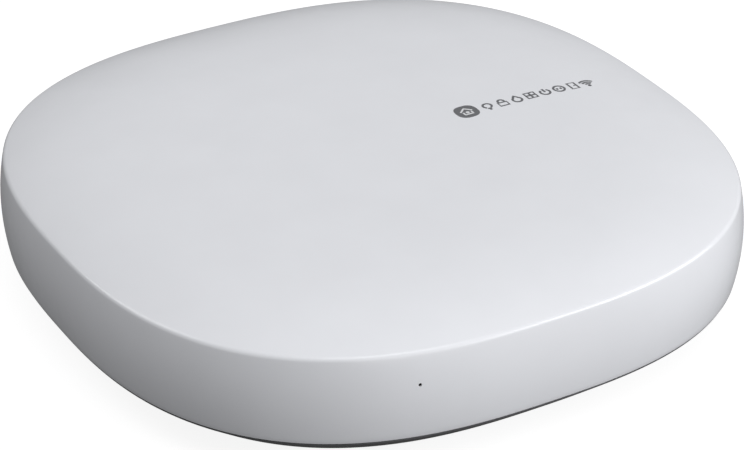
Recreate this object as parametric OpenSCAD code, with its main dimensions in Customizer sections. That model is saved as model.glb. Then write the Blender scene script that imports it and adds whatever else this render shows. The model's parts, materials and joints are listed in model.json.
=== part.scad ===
// Smart home hub: a rounded-square plastic puck with a shallow dome, a grey base and a recessed
// row of ports at the back. +Z is up, the front with the status light faces -Y, and the origin
// is on the table, under the centre of the body. All sizes are in millimetres.

/* [Body] */
// Width and depth of the body at its widest
body_w = 127; // [122:0.2:156]
// Height from the table to the middle of the top
body_h = 28; // [27.5:0.1:36]
// Power of the outline's superellipse: 2 is a circle, and more is squarer
outline_power = 2.615; // [2.4:0.005:3]
// Distance that the side wall bulges out at half its height
wall_bulge = 0.8; // [0.2:0.1:1.6]
// Fall of the domed top from its middle to the crest of the side wall
dome_h = 4.5; // [3.5:0.1:5]
// Power of the dome's profile: more keeps the middle flatter
dome_power = 5.5; // [4:0.5:8]
// Radius between the side wall and the dome
crest_r = 1; // [0.6:0.1:1.4]
// Thickness of the housing and of the base
shell_t = 2; // [1.6:0.05:2.4]

/* [Base] */
// Height of the white wall's lower edge
wall_foot_z = 7.5; // [7.2:0.1:8]
// Seam between the housing and the base
seam_gap = 0.25; // [0.15:0.05:0.4]
// Height of the flat underside
base_z = 0.8; // [0.6:0.1:1.2]
// Inset of the flat underside from the body's side
base_inset = 15.5; // [13:0.5:18]
// Height of the lower edge of the base's side band
band_z = 7; // [6.5:0.05:7.1]
// Height of the edge between the chamfer under the band and the sloping underside
chamfer_z = 2.8; // [2.6:0.1:5.4]
// Inset of that edge from the body's side
chamfer_inset = 6; // [3:0.1:8]
// Diameter of a rubber foot
foot_d = 12; // [10:0.5:13]
// Depth of the pocket that holds a rubber foot
foot_pocket = 0.5; // [0.3:0.1:0.6]
// Length of a vent slot
vent_len = 9; // [6:0.5:11]
// Width of a vent slot
vent_w = 1.6; // [1.2:0.1:2]
// Number of vent slots in a row
vent_count = 9; // [5:1:11]
// Width of the label on the underside
label_w = 44; // [30:1:50]
// Depth of the label on the underside
label_d = 28; // [20:1:32]

/* [Board] */
// Thickness of the circuit board
board_t = 1.6; // [1.2:0.05:2]
// Height of the circuit board's lower face
board_z = 7; // [6.6:0.1:7.4]
// Inset of the circuit board from the body's side
board_inset = 10.5; // [10:0.5:12]
// Diameter of a screw's thread
screw_d = 2.5; // [2:0.1:3]
// Length of a case screw under its head
case_screw_len = 12; // [10:0.5:14]
// Length of a board screw under its head
board_screw_len = 5; // [4:0.5:5.5]

/* [Ports] */
// Depth of the port panel behind the widest part of the body
port_recess = 7.6; // [7.5:0.1:8.4]
// Width of the port recess
port_w = 62; // [60:0.5:64]
// Thickness of the port panel
panel_t = 1.6; // [1.2:0.1:2]
// Width of the Ethernet jack
eth_w = 16; // [15.5:0.1:19.5]
// Height of the Ethernet jack
eth_h = 11.6; // [11:0.1:12]
// Diameter of the opening for the power plug
plug_d = 6.3; // [5:0.1:7]
// Diameter of the power jack's centre pin
pin_d = 2; // [1.6:0.1:2.5]
// Diameter of the reset button
reset_d = 2.4; // [2:0.1:3]
// Travel of the reset button
reset_travel = 0.5; // [0.3:0.05:0.6]

/* [Status light] */
// Distance of the pinhole to the left of the middle of the front
light_x = 25.3; // [20:0.1:30]
// Height of the pinhole
light_z = 18.2; // [15:0.1:20]
// Diameter of the pinhole
light_d = 0.6; // [0.4:0.05:1]
// Diameter of the light guide's arm
guide_d = 3; // [2.5:0.1:3.6]

/* [Hidden] */

// Sides of the outline's polygon, and of round pieces
sides = 96;
round_fn = 48;

half = body_w / 2;
crest_z = body_h - dome_h;
wall_mid_z = (wall_foot_z + crest_z) / 2;
wall_half_h = (crest_z - wall_foot_z) / 2;
crest_half = half - wall_bulge;

// The crest's arc starts along the leaning wall and ends along the dome's edge
wall_lean = atan(2 * wall_bulge / wall_half_h);
function dome_slope(rise) = atan(rise * dome_power / half);
function crest_rise(slope) = crest_r * (cos(slope) - sin(wall_lean));
edge_slope = dome_slope(dome_h - crest_rise(dome_slope(dome_h)));
dome_rise = dome_h - crest_rise(edge_slope);
dome_half = crest_half - crest_r * (cos(wall_lean) - sin(edge_slope));

function wall_half(z) = half - wall_bulge * pow((z - wall_mid_z) / wall_half_h, 2);
wall_steps = 6;
wall_rings = [for (i = [0 : wall_steps])
    let (z = wall_foot_z + (crest_z - wall_foot_z) * i / wall_steps) [wall_half(z), z]];
function dome_z(r) = body_h - dome_rise * pow(r, dome_power);

// Share of the dome's half width over which the ceiling is flat, and the share that it ends at
ceiling_share = 0.64;
ceiling_z = dome_z(ceiling_share) - shell_t;
inner_share = 0.95;
inner_edge_z = dome_z(inner_share) - shell_t;
inner_wall_z = inner_edge_z - 0.9;

base_half = half - base_inset;
chamfer_half = half - chamfer_inset;
rim_z = wall_foot_z - seam_gap;
rim_half = wall_half(wall_foot_z) - 0.25;
floor_z = base_z + shell_t;
lip_gap = 0.3;
lip_t = 1.2;
lip_h = 2;
lip_half = wall_half(wall_foot_z) - shell_t - lip_gap;

board_top = board_z + board_t;
board_half = half - board_inset;

// A corner of the outline lies this share of the half width out along X and along Y
corner_share = pow(0.5, 1 / outline_power);
foot_margin = 1.5;
post_xy = base_half * corner_share - foot_d / 2 * sin(45) - foot_margin;
post_r = 3.5;
thread_r = screw_d / 2;
thread_gap = 0.03;
clear_gap = 0.2;
head_r = screw_d * 0.92;
head_h = 1.6;
head_gap = 0.3;
head_seat_z = floor_z + 0.6;
boss_hole_h = case_screw_len - (board_top - head_seat_z) + 1.5;
stud_r = 3;
stud_xy = [42, 8];

port_y = half - port_recess;
panel_y = port_y - panel_t;
panel_w = port_w + 2;
bezel_t = 1.2;
bezel_floor_t = 0.8;
bezel_gap = 0.2;
bezel_z = wall_foot_z + 0.1;
port_top_z = board_top + eth_h + 0.4;
bezel_top_z = port_top_z + bezel_t;
panel_top_z = min(bezel_top_z + 0.5, inner_wall_z);
jack_gap = 0.25;
jack_setback = 0.3;
jack_y = port_y - jack_setback;

eth_x = 4;
eth_d = 15.7;
eth_shell_t = 0.25;
eth_mouth = [11.8, 12.5, 6.8];
eth_mouth_z = 3.9;
latch_mouth_w = 6.2;
latch_mouth_z = 1.7;

usb_x = eth_x - eth_w / 2 - 9;
usb_size = [13.1, 14, 5.7];
usb_t = 0.3;
usb_lift = 0.3;
tongue = [11.1, 8.8, 1.84];

power_x = eth_x + eth_w / 2 + 10;
power_size = [9, 14.2, 11];
power_axis_z = 6.4;
power_depth = 9.5;

reset_x = usb_x - 12;
reset_z = board_top + 2.5;
reset_gap = 0.05;
reset_flange_r = reset_d / 2 + 0.8;
reset_flange_t = 1;
reset_sunk = 0.5;
switch_size = [6, 4.2, 4.4];
switch_y = panel_y - 1.2 - reset_travel - reset_flange_t - switch_size[1] - 0.6;
plunger_w = 1.6;
dome_t = 0.2;

shield_size = [40, 34, 2.8];
shield_t = 0.3;
pad_w = 13;
chip_h = 1.2;
sink_tape_t = 0.3;
sink_base_t = 1.5;
sink_fin_h = 2.6;
sink_fins = 9;

wifi_x = -32;
wifi_y = -2;
wifi_size = [18, 14, 0.8];
socket_h = 1.2;
plug_h = 0.9;
cable_r = 0.55;
antenna_size = [34, 9, 0.6];

// Plan views and rings of the body's outline, counter-clockwise
function power_sum(x, y) = pow(abs(x), outline_power) + pow(abs(y), outline_power);
function outline_r(a) = pow(power_sum(cos(a), sin(a)), -1 / outline_power);
function outline(h) = [for (i = [0 : sides - 1])
    let (a = 360 * i / sides) h * outline_r(a) * [cos(a), sin(a)]];
function ring(h, z) = [for (p = outline(h)) [p[0], p[1], z]];
function outline_y(h, x) = pow(pow(h, outline_power) - pow(abs(x), outline_power), 1 / outline_power);

// A solid through rings given as [half width, height], from its lower end face to its upper one
module loft(rings) {
    last = len(rings) - 1;
    polyhedron(
        points = [for (r = rings) each ring(r[0], r[1])],
        faces = concat(
            [[for (i = [0 : sides - 1]) i]],
            [for (k = [0 : last - 1], i = [0 : sides - 1]) let (j = (i + 1) % sides)
                [k * sides + i, (k + 1) * sides + i, (k + 1) * sides + j, k * sides + j]],
            [[for (i = [sides - 1 : -1 : 0]) last * sides + i]]
        ),
        convexity = 6
    );
}

// A block centred on X and Y that stands on z = 0
module block(size) {
    translate([-size[0] / 2, -size[1] / 2, 0]) cube(size);
}

// A block standing on the board's upper face
module on_board(x, y, size) {
    translate([x, y, board_top]) block(size);
}

// A block whose back face is at y and whose width is centred on x
module behind(x, y, z, size) {
    translate([x - size[0] / 2, y - size[1], z]) cube(size);
}

// Copies at the four corner posts
module at_posts() {
    for (sx = [-1, 1], sy = [-1, 1]) translate([sx * post_xy, sy * post_xy, 0]) children();
}

// Copies at the two board studs
module at_studs() {
    for (sx = [-1, 1]) translate([sx * stud_xy[0], stud_xy[1], 0]) children();
}

// A pan-head screw along +Z with its head's bearing face at z = 0 and a cross recess
module screw(length) {
    recess_w = 0.7;
    recess_l = head_r * 1.1;
    recess_h = 0.9;
    difference() {
        union() {
            cylinder(r = thread_r, h = length, $fn = round_fn);
            translate([0, 0, -head_h]) cylinder(r = head_r, h = head_h, $fn = round_fn);
        }
        translate([0, 0, -head_h - 0.1]) {
            block([recess_w, recess_l, recess_h + 0.1]);
            block([recess_l, recess_w, recess_h + 0.1]);
        }
    }
}

module top_housing() {
    arc_steps = 4;
    dome_steps = 9;
    inner_steps = 4;
    flat_share = 0.36;
    color("whitesmoke")
    difference() {
        union() {
            loft(concat(
                [for (i = [0 : inner_steps])
                    let (r = ceiling_share + (inner_share - ceiling_share) * i / inner_steps)
                    [dome_half * r, dome_z(r) - shell_t]],
                [for (i = [0 : wall_steps])
                    let (z = inner_wall_z + (wall_foot_z - inner_wall_z) * i / wall_steps)
                    [wall_half(z) - shell_t, z]],
                wall_rings,
                [for (i = [1 : arc_steps])
                    let (a = wall_lean + (90 - edge_slope - wall_lean) * i / arc_steps)
                    [crest_half + crest_r * (cos(a) - cos(wall_lean)),
                     crest_z + crest_r * (sin(a) - sin(wall_lean))]],
                [for (i = [1 : dome_steps])
                    let (r = 1 - (1 - flat_share) * pow(i / dome_steps, 1.3))
                    [dome_half * r, dome_z(r)]]
            ));
            // Bosses that the case screws bite into
            at_posts() translate([0, 0, board_top])
                cylinder(r = post_r, h = ceiling_z - board_top + 0.4, $fn = round_fn);
            // Ribs that hold the port panel against the wall
            for (s = [-1, 1])
                behind(s * (panel_w / 2 - 1.2), panel_y - bezel_gap, board_top + 2,
                    [1.6, 1.5, inner_edge_z - board_top - 1.2]);
        }
        at_posts() translate([0, 0, board_top - 1])
            cylinder(r = thread_r + thread_gap, h = boss_hole_h + 1, $fn = round_fn);
        // Opening for the port recess, open at the bottom so that the housing lifts off
        translate([-port_w / 2 - bezel_gap, port_y, wall_foot_z - 1])
            cube([port_w + 2 * bezel_gap, half, bezel_top_z + bezel_gap - wall_foot_z + 1]);
        // Pinhole for the status light
        translate([-light_x, -outline_y(half, light_x) + 2 * shell_t, light_z])
            rotate([90, 0, 0]) cylinder(d = light_d, h = 4 * shell_t, $fn = round_fn);
    }
}

module bottom_cover() {
    inner_half = lip_half - lip_t;
    lip_cut = 2.5;
    color("dimgray")
    difference() {
        union() {
            loft([
                [base_half, base_z],
                [chamfer_half - 1.5, chamfer_z - 0.65],
                [chamfer_half, chamfer_z],
                [rim_half - 0.15, band_z - 0.1],
                [rim_half, band_z + 0.1],
                [rim_half, rim_z],
                [lip_half, rim_z],
                [lip_half, rim_z + lip_h],
                [inner_half, rim_z + lip_h],
                [inner_half, rim_z],
                [chamfer_half - 2.1, chamfer_z + 0.7],
                [base_half - 0.4, floor_z]
            ]);
            at_posts() translate([0, 0, floor_z - 0.5])
                cylinder(r = post_r, h = board_z - floor_z + 0.5, $fn = round_fn);
            at_studs() translate([0, 0, floor_z - 0.5])
                cylinder(r = stud_r, h = board_z - floor_z + 0.5, $fn = round_fn);
        }
        at_posts() {
            translate([0, 0, base_z - 1])
                cylinder(d = foot_d + 2 * clear_gap, h = foot_pocket + 1, $fn = round_fn);
            translate([0, 0, base_z - 1])
                cylinder(r = head_r + head_gap, h = head_seat_z - base_z + 1, $fn = round_fn);
            cylinder(r = thread_r + clear_gap, h = board_z + 1, $fn = round_fn);
        }
        at_studs() translate([0, 0, floor_z])
            cylinder(r = thread_r + thread_gap, h = board_z, $fn = round_fn);
        // The lip is left out behind the port recess
        translate([-panel_w / 2 - lip_cut, panel_y - lip_cut, rim_z])
            cube([panel_w + 2 * lip_cut, half, lip_h + 1]);
        translate([0, 0, base_z - 1]) block([label_w + 0.4, label_d + 0.4, 1.3]);
        vent_slots();
    }
}

// Two rows of slots through the base's floor
module vent_slots() {
    pitch = 2.5 * vent_w;
    row_y = label_d / 2 + 3 + vent_len / 2;
    for (s = [-1, 1], i = [0 : vent_count - 1])
        translate([(i - (vent_count - 1) / 2) * pitch, s * row_y, base_z - 1])
            block([vent_w, vent_len, shell_t + 2]);
}

module port_bezel() {
    inner_w = port_w - 2 * bezel_t;
    color("dimgray")
    difference() {
        union() {
            // Panel across the back of the recess, inside the housing's wall
            intersection() {
                behind(0, port_y, bezel_z, [panel_w, panel_t, panel_top_z - bezel_z]);
                loft([for (r = wall_rings) [r[0] - shell_t - bezel_gap, r[1]]]);
            }
            // Tunnel from the panel to the body's side
            intersection() {
                difference() {
                    translate([-port_w / 2, panel_y + 0.1, bezel_z])
                        cube([port_w, half - panel_y, bezel_top_z - bezel_z]);
                    translate([-inner_w / 2, port_y, bezel_z + bezel_floor_t])
                        cube([inner_w, half, port_top_z - bezel_z - bezel_floor_t]);
                }
                loft(wall_rings);
            }
        }
        // Cut-outs for the jacks and the reset button
        behind(eth_x, port_y + 1, board_top - jack_gap,
            [eth_w + 2 * jack_gap, panel_t + 2, eth_h + 2 * jack_gap]);
        behind(usb_x, port_y + 1, board_top + usb_lift - jack_gap,
            [usb_size[0] + 2 * jack_gap, panel_t + 2, usb_size[2] + 2 * jack_gap]);
        behind(power_x, port_y + 1, board_top - jack_gap,
            [power_size[0] + 2 * jack_gap, panel_t + 2, power_size[2] + 2 * jack_gap]);
        translate([reset_x, port_y + 1, reset_z]) rotate([90, 0, 0])
            cylinder(r = reset_d / 2 + reset_gap, h = panel_t + 2, $fn = round_fn);
    }
}

module rubber_feet() {
    color("black")
    at_posts() cylinder(d = foot_d, h = base_z + foot_pocket, $fn = round_fn);
}

module rating_label() {
    label_t = 0.2;
    color("gainsboro")
    translate([0, 0, base_z + 0.3 - label_t]) block([label_w, label_d, label_t]);
}

module case_screws() {
    color("silver")
    at_posts() translate([0, 0, head_seat_z]) screw(case_screw_len);
}

module main_board() {
    color("darkgreen")
    difference() {
        translate([0, 0, board_z]) linear_extrude(height = board_t) polygon(outline(board_half));
        at_posts() cylinder(r = thread_r + clear_gap, h = board_top + 1, $fn = round_fn);
        at_studs() cylinder(r = thread_r + clear_gap, h = board_top + 1, $fn = round_fn);
    }
}

module board_screws() {
    color("silver")
    at_studs() translate([0, 0, board_top]) rotate([180, 0, 0]) screw(board_screw_len);
}

soc_xy = [-6, 0];
module application_processor() {
    color("black") on_board(soc_xy[0], soc_xy[1], [14, 14, chip_h]);
}

module memory_chips() {
    color("black") for (s = [-1, 1]) on_board(10.5, s * 7.5, [9, 11, 1]);
}

module flash_chip() {
    color("black") on_board(-20, 24, [11.5, 13, 1]);
}

module power_manager() {
    color("black") on_board(-6, -12, [6, 6, 0.9]);
}

// The last of shield_size is the height of the shield cover's ceiling over the board
module shield_frame() {
    color("silver")
    difference() {
        on_board(0, 0, [shield_size[0], shield_size[1], shield_size[2] - 0.1]);
        translate([0, 0, -0.5]) on_board(0, 0,
            [shield_size[0] - 2 * shield_t, shield_size[1] - 2 * shield_t, shield_size[2] + 1]);
    }
}

module shield_cover() {
    gap = 0.1;
    skirt_lift = 0.6;
    color("silver")
    difference() {
        translate([0, 0, skirt_lift]) on_board(0, 0, [shield_size[0] + 2 * (gap + shield_t),
            shield_size[1] + 2 * (gap + shield_t), shield_size[2] + shield_t - skirt_lift]);
        on_board(0, 0, [shield_size[0] + 2 * gap, shield_size[1] + 2 * gap, shield_size[2]]);
    }
}

module thermal_pad() {
    color("lightpink")
    translate([0, 0, chip_h])
        on_board(soc_xy[0], soc_xy[1], [pad_w, pad_w, shield_size[2] - chip_h]);
}

module heat_sink_tape() {
    color("white")
    translate([0, 0, shield_size[2] + shield_t])
        on_board(0, 0, [shield_size[0] - 4, shield_size[1] - 4, sink_tape_t]);
}

module heat_sink() {
    sink_w = shield_size[0] - 2;
    sink_d = shield_size[1] - 2;
    fin_t = 1.2;
    pitch = (sink_w - fin_t) / (sink_fins - 1);
    color("silver")
    translate([0, 0, shield_size[2] + shield_t + sink_tape_t]) {
        on_board(0, 0, [sink_w, sink_d, sink_base_t]);
        for (i = [0 : sink_fins - 1])
            on_board(-sink_w / 2 + fin_t / 2 + i * pitch, 0, [fin_t, sink_d, sink_base_t + sink_fin_h]);
    }
}

// The Ethernet jack: a moulded body, a folded steel shell and eight spring contacts
module ethernet_housing() {
    body = [eth_w - 2 * eth_shell_t, eth_d - eth_shell_t, eth_h - eth_shell_t];
    color("black")
    difference() {
        behind(eth_x, jack_y, board_top, body);
        behind(eth_x, jack_y + 1, board_top + eth_mouth_z, eth_mouth + [0, 1, 0]);
        behind(eth_x, jack_y + 1, board_top + latch_mouth_z,
            [latch_mouth_w, eth_mouth[1] + 1, eth_mouth_z - latch_mouth_z + 0.1]);
    }
}

module ethernet_shell() {
    color("silver")
    difference() {
        behind(eth_x, jack_y, board_top, [eth_w, eth_d, eth_h]);
        behind(eth_x, jack_y + 1, board_top - 1,
            [eth_w - 2 * eth_shell_t, eth_d - eth_shell_t + 1, eth_h - eth_shell_t + 1]);
    }
}

module ethernet_contacts() {
    pitch = 1.02;
    wire = 0.4;
    slope = 12;
    color("gold")
    for (i = [0 : 7])
        translate([eth_x + (i - 3.5) * pitch, jack_y - 4.2, board_top + eth_mouth_z + eth_mouth[2] - 0.5])
            rotate([slope, 0, 0]) translate([-wire / 2, -7, -wire]) cube([wire, 7, wire]);
}

module ethernet_transformer() {
    color("black") on_board(eth_x, 31.5, [12.7, 9, 5.2]);
}

module ethernet_controller() {
    color("black") on_board(eth_x, 22, [5, 5, 0.9]);
}

// The USB jack: a folded shell, a moulded body with its tongue, and four contacts
tongue_z = board_top + usb_lift + usb_size[2] - usb_t - 0.75 - tongue[2];
module usb_housing() {
    back_d = usb_size[1] - tongue[1] - usb_t;
    inner = [usb_size[0] - 2 * usb_t, back_d, usb_size[2] - 2 * usb_t];
    color("black") {
        behind(usb_x, jack_y - tongue[1], board_top + usb_lift + usb_t, inner);
        behind(usb_x, jack_y - usb_t, tongue_z, [tongue[0], tongue[1], tongue[2]]);
    }
}

module usb_shell() {
    color("silver")
    difference() {
        behind(usb_x, jack_y, board_top + usb_lift, usb_size);
        behind(usb_x, jack_y + 1, board_top + usb_lift + usb_t,
            [usb_size[0] - 2 * usb_t, usb_size[1] - usb_t + 1, usb_size[2] - 2 * usb_t]);
    }
}

module usb_contacts() {
    contact_t = 0.25;
    color("gold")
    for (x = [-3.5, -1, 1, 3.5])
        behind(usb_x + x, jack_y - 1.5, tongue_z - contact_t, [1, 7.2, contact_t]);
}

// The power jack: a moulded body, its centre pin and a leaf spring
module power_jack_housing() {
    axis_z = board_top + power_axis_z;
    color("black")
    difference() {
        behind(power_x, jack_y, board_top, power_size);
        translate([power_x, jack_y + 1, axis_z]) rotate([90, 0, 0])
            cylinder(d = plug_d, h = power_depth + 1, $fn = round_fn);
        translate([power_x, jack_y, axis_z]) rotate([90, 0, 0])
            cylinder(d = pin_d, h = power_size[1] - 2, $fn = round_fn);
        // Slot for the leaf spring
        behind(power_x, jack_y - 2, board_top + 1, [3, power_depth - 2, power_axis_z - 1]);
    }
}

module power_jack_pin() {
    color("silver")
    translate([power_x, jack_y - 1, board_top + power_axis_z]) rotate([90, 0, 0])
        cylinder(d = pin_d, h = power_size[1] - 3, $fn = round_fn);
}

module power_jack_spring() {
    spring_t = 0.3;
    color("silver")
    translate([0, 0, board_top + power_axis_z - plug_d / 2 - spring_t])
        behind(power_x, jack_y - 2.2, 0, [2.4, power_depth - 2.6, spring_t]);
}

// The reset button's stem passes through the panel, and its flange stays behind the panel
flange_y = panel_y - 0.2;
module reset_button() {
    color("gray")
    translate([reset_x, 0, reset_z]) {
        translate([0, port_y - reset_sunk, 0]) rotate([90, 0, 0])
            cylinder(d = reset_d, h = panel_t + 0.7 - reset_sunk, $fn = round_fn);
        translate([0, flange_y, 0]) rotate([90, 0, 0])
            cylinder(r = reset_flange_r, h = reset_flange_t, $fn = round_fn);
    }
}

// The switch lies on its side, with its plunger towards the back
switch_front_y = switch_y + switch_size[1];
plunger_y = flange_y - reset_flange_t;
plunger_end_y = switch_front_y - 1.2;
module reset_switch_case() {
    color("black")
    difference() {
        translate([reset_x, switch_y + switch_size[1] / 2, reset_z - switch_size[2] / 2])
            block(switch_size);
        // Well for the plunger and the dome
        translate([reset_x, switch_front_y + 1, reset_z]) rotate([90, 0, 0])
            cylinder(r = plunger_w + 0.1, h = 3.2, $fn = round_fn);
    }
    color("silver")
    translate([reset_x, switch_y + switch_size[1] / 2, board_top])
        block([switch_size[0], switch_size[1] - 1, reset_z - switch_size[2] / 2 - board_top]);
}

module reset_switch_plunger() {
    color("ivory")
    translate([reset_x, plunger_y, reset_z]) rotate([90, 0, 0])
        cylinder(d = plunger_w, h = plunger_y - plunger_end_y, $fn = round_fn);
}

module reset_switch_dome() {
    color("silver")
    translate([reset_x, plunger_end_y - reset_travel - 0.05, reset_z]) rotate([90, 0, 0])
        cylinder(r = plunger_w - 0.1, h = dome_t, $fn = round_fn);
}

// The status light: an LED on the board, a guide that carries its light to the wall, and a smoked
// lens in the pinhole
led_y = -outline_y(board_half, light_x) + 4;
led_h = 1;
guide_tip_y = -outline_y(wall_half(light_z) - shell_t, light_x + guide_d / 2) + 0.08;
module status_led() {
    color("ivory") on_board(-light_x, led_y, [2, 1.6, led_h]);
}

module light_guide() {
    guide_gap = 0.3;
    foot_z = board_top + led_h + guide_gap;
    color("aliceblue", 0.6)
    translate([-light_x, led_y, 0]) {
        difference() {
            translate([0, 0, foot_z])
                block([guide_d, guide_d, light_z + guide_d / 2 - foot_z]);
            // Sloping face that turns the light forwards
            translate([0, guide_d / 2, light_z - guide_d / 2]) rotate([45, 0, 0])
                translate([-guide_d, 0, 0]) cube([2 * guide_d, guide_d, 2 * guide_d]);
        }
        translate([0, 0, light_z]) rotate([90, 0, 0])
            cylinder(d = guide_d, h = led_y - guide_tip_y, $fn = round_fn);
    }
}

module status_lens() {
    lens_sunk = 0.12;
    lens_y = -outline_y(wall_half(light_z), light_x) + lens_sunk;
    color("black")
    translate([-light_x, lens_y + shell_t - 2 * lens_sunk, light_z]) rotate([90, 0, 0])
        cylinder(d = light_d - 0.02, h = shell_t - 2 * lens_sunk, $fn = round_fn);
}

module light_shroud() {
    shroud_t = 0.9;
    shroud_len = 3;
    color("black")
    translate([-light_x, guide_tip_y + shroud_len + 0.6, light_z]) rotate([90, 0, 0])
    difference() {
        cylinder(r = guide_d / 2 + shroud_t, h = shroud_len, $fn = round_fn);
        translate([0, 0, -1]) cylinder(r = guide_d / 2 + 0.02, h = shroud_len + 2, $fn = round_fn);
    }
}

// The Wi-Fi module, its two antennas under the ceiling, and their cables
module wifi_module_board() {
    color("seagreen") on_board(wifi_x, wifi_y, wifi_size);
}

module wifi_module_shield() {
    color("silver")
    translate([0, 0, wifi_size[2]]) on_board(wifi_x + 2, wifi_y, [12.5, 12.5, 1.6]);
}

socket_x = wifi_x - wifi_size[0] / 2 + 2;
socket_ys = [wifi_y - 4.5, wifi_y + 4.5];
antenna_xs = [-20, 20];
module antenna_sockets() {
    color("gold")
    for (y = socket_ys) translate([0, 0, wifi_size[2]]) on_board(socket_x, y, [2.6, 2.6, socket_h]);
}

module antenna_plugs() {
    color("silver")
    for (y = socket_ys)
        translate([socket_x, y, board_top + wifi_size[2] + socket_h])
            cylinder(d = 2.6, h = plug_h, $fn = round_fn);
}

module wifi_antennas() {
    color("goldenrod")
    for (i = [0, 1])
        translate([antenna_xs[i], socket_ys[i], ceiling_z - antenna_size[2]]) block(antenna_size);
}

function bezier(p, t) = pow(1 - t, 3) * p[0] + 3 * t * pow(1 - t, 2) * p[1]
    + 3 * t * t * (1 - t) * p[2] + t * t * t * p[3];

// A round cable in a plane of constant Y, along a Bezier curve's four points
module cable(p) {
    steps = 28;
    around = 8;
    nudge = 0.001;
    polyhedron(
        points = [for (k = [0 : steps])
            let (t = k / steps,
                d = bezier(p, t + nudge) - bezier(p, t - nudge),
                u = [d[2], 0, -d[0]] / norm(d))
            for (i = [0 : around - 1])
                bezier(p, t) + cable_r * (cos(360 * i / around) * u + sin(360 * i / around) * [0, 1, 0])],
        faces = concat(
            [[for (i = [around - 1 : -1 : 0]) i]],
            [for (k = [0 : steps - 1], i = [0 : around - 1]) let (j = (i + 1) % around)
                [k * around + i, k * around + j, (k + 1) * around + j, (k + 1) * around + i]],
            [[for (i = [0 : around - 1]) steps * around + i]]
        )
    );
}

module antenna_cables() {
    plug_top = board_top + wifi_size[2] + socket_h + plug_h;
    reach = 12;
    antenna_foot = ceiling_z - antenna_size[2];
    color("black")
    for (i = [0, 1]) {
        end_x = antenna_xs[i] - antenna_size[0] / 2 + 2;
        y = socket_ys[i];
        cable([
            [socket_x, y, plug_top],
            [socket_x, y, plug_top + reach],
            [end_x, y, antenna_foot - reach],
            [end_x, y, antenna_foot]
        ]);
    }
}

module zigbee_radio() {
    color("black") on_board(6, -29, [7, 7, 0.9]);
}

// A strip antenna folded from sheet metal, standing on two legs
module strip_antenna(length, width, height) {
    sheet_t = 0.4;
    translate([0, 0, height - sheet_t]) block([length, width, sheet_t]);
    for (x = [-length / 2 + sheet_t / 2, -length / 2 + 5])
        translate([x, 0, 0]) block([sheet_t, width, height]);
}

module zigbee_antenna() {
    color("silver") translate([7, -44.5, board_top]) strip_antenna(22, 3, 6);
}

zwave_xy = [32, -12];
module zwave_module_board() {
    color("seagreen") on_board(zwave_xy[0], zwave_xy[1], [12.5, 13.6, 0.8]);
}

module zwave_module_shield() {
    color("silver") translate([0, 0, 0.8]) on_board(zwave_xy[0], zwave_xy[1], [11, 11, 1.5]);
}

module zwave_antenna() {
    color("silver") translate([board_half - 6.5, -12, board_top]) rotate([0, 0, 90])
        strip_antenna(30, 3, 8);
}

module security_chip() {
    color("black") on_board(-9, 25, [4, 4, 0.9]);
}

module power_inductors() {
    color("dimgray")
    for (p = [[20, 33], [20, 25.5], [-20, -28]]) on_board(p[0], p[1], [6, 6, 3]);
}

module voltage_regulators() {
    color("black")
    for (p = [[27, 22], [-12, -28], [-13, 34]]) on_board(p[0], p[1], [3.4, 3, 1.2]);
}

module polymer_capacitors() {
    color("silver")
    for (y = [2, 9.5, 17]) translate([34, y, board_top]) cylinder(d = 6.3, h = 5.8, $fn = round_fn);
}

// Small parts of 1.6 by 0.8 mm in rows
module chip_row(x, y, count, step, height) {
    for (i = [0 : count - 1]) on_board(x + i * step[0], y + i * step[1], [1.6, 0.8, height]);
}

module ceramic_capacitors() {
    color("tan") {
        chip_row(-10.5, 10.5, 5, [2.4, 0], 0.8);
        chip_row(-17.5, -6, 6, [0, 2], 0.8);
        chip_row(0, -30, 4, [0, -2], 0.8);
        chip_row(9.2, 20, 3, [2.4, 0], 0.8);
        chip_row(25, 30, 3, [0, -2], 0.8);
    }
}

module chip_resistors() {
    color("black") {
        chip_row(-10.5, 13.5, 5, [2.4, 0], 0.5);
        chip_row(-16, -36, 6, [2.4, 0], 0.5);
        chip_row(14, -26, 4, [0, -2], 0.5);
        chip_row(-25, 14, 5, [0, -1.8], 0.5);
    }
}

module crystals() {
    color("silver") {
        on_board(6, -22, [3.2, 2.5, 0.8]);
        on_board(-6, 20.5, [3.2, 2.5, 0.8]);
        on_board(-14, 11.5, [3.2, 2.5, 0.8]);
    }
}

top_housing();
bottom_cover();
port_bezel();
rubber_feet();
rating_label();
case_screws();
main_board();
board_screws();
application_processor();
memory_chips();
flash_chip();
power_manager();
shield_frame();
shield_cover();
thermal_pad();
heat_sink_tape();
heat_sink();
ethernet_housing();
ethernet_shell();
ethernet_contacts();
ethernet_transformer();
ethernet_controller();
usb_housing();
usb_shell();
usb_contacts();
power_jack_housing();
power_jack_pin();
power_jack_spring();
reset_button();
reset_switch_case();
reset_switch_plunger();
reset_switch_dome();
status_led();
light_guide();
status_lens();
light_shroud();
wifi_module_board();
wifi_module_shield();
wifi_antennas();
antenna_sockets();
antenna_plugs();
antenna_cables();
zigbee_radio();
zigbee_antenna();
zwave_module_board();
zwave_module_shield();
zwave_antenna();
security_chip();
power_inductors();
voltage_regulators();
polymer_capacitors();
ceramic_capacitors();
chip_resistors();
crystals();
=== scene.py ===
"""Looks of the smart home hub: a white rounded-square body with a domed top and a grey base.

Everything is in metres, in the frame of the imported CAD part: +Z is up and the front faces -Y.
The housing, the base, the feet and the label are rebuilt as smooth meshes from the formulas of
the CAD part. All other CAD pieces keep their meshes and get materials.
"""
import json
import math

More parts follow.
